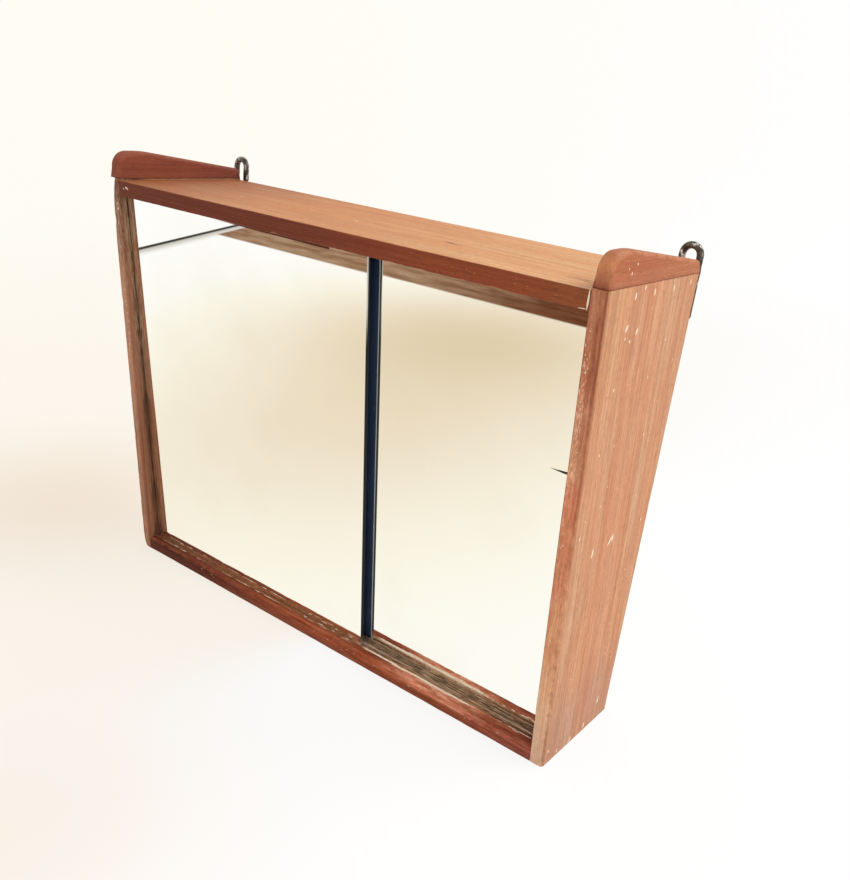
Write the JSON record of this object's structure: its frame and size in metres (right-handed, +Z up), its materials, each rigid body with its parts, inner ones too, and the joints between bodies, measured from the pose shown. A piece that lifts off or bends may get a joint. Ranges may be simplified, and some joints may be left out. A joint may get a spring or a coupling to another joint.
{
  "type": "bathroom wall cabinet",
  "caption": "Shallow wooden wall cabinet with sliding mirror doors, low rounded gallery ends on its top, an inner shelf and hook hangers at the rear.",
  "frame": {"origin": "middle of the underside of the cabinet, halfway along its width and halfway through its depth at the foot", "axes": "+X along the width to the right as seen from the front, +Y from the front to the wall, +Z up"},
  "size_m": [0.6, 0.1603, 0.4563],
  "materials": {
    "teak_side": "worn oil",
    "teak_board": "worn oil",
    "teak_gallery": "worn oil",
    "teak_inside": "oiled",
    "beech": "bare",
    "plywood": "bare",
    "mirror": "silvered glass",
    "rod_metal": "tarnished",
    "screw_metal": "dull"
  },
  "bodies": {
    "carcass": {"side_left": "teak_side", "side_right": "teak_side", "top_board": "teak_board", "bottom_board": "teak_board", "gallery_left": "teak_gallery", "gallery_right": "teak_gallery", "gallery_dowels": "beech", "carcass_dowels": "beech", "back_panel": "plywood", "panel_pins": "screw_metal", "shelf": "teak_inside", "shelf_batten_left": "teak_inside", "shelf_batten_right": "teak_inside", "batten_screws": "screw_metal", "hanger_left": "rod_metal", "hanger_right": "rod_metal", "hanger_screws": "screw_metal"},
    "door_left": {"mirror_left": "mirror"},
    "door_right": {"mirror_right": "mirror"}
  },
  "joints": [
    {"name": "door_left_slide", "type": "slide", "parent": "carcass", "child": "door_left", "axis": [1, 0, 0], "range_m": [0, 0.2244]},
    {"name": "door_right_slide", "type": "slide", "parent": "carcass", "child": "door_right", "axis": [1, 0, 0], "range_m": [-0.2244, 0]}
  ]
}
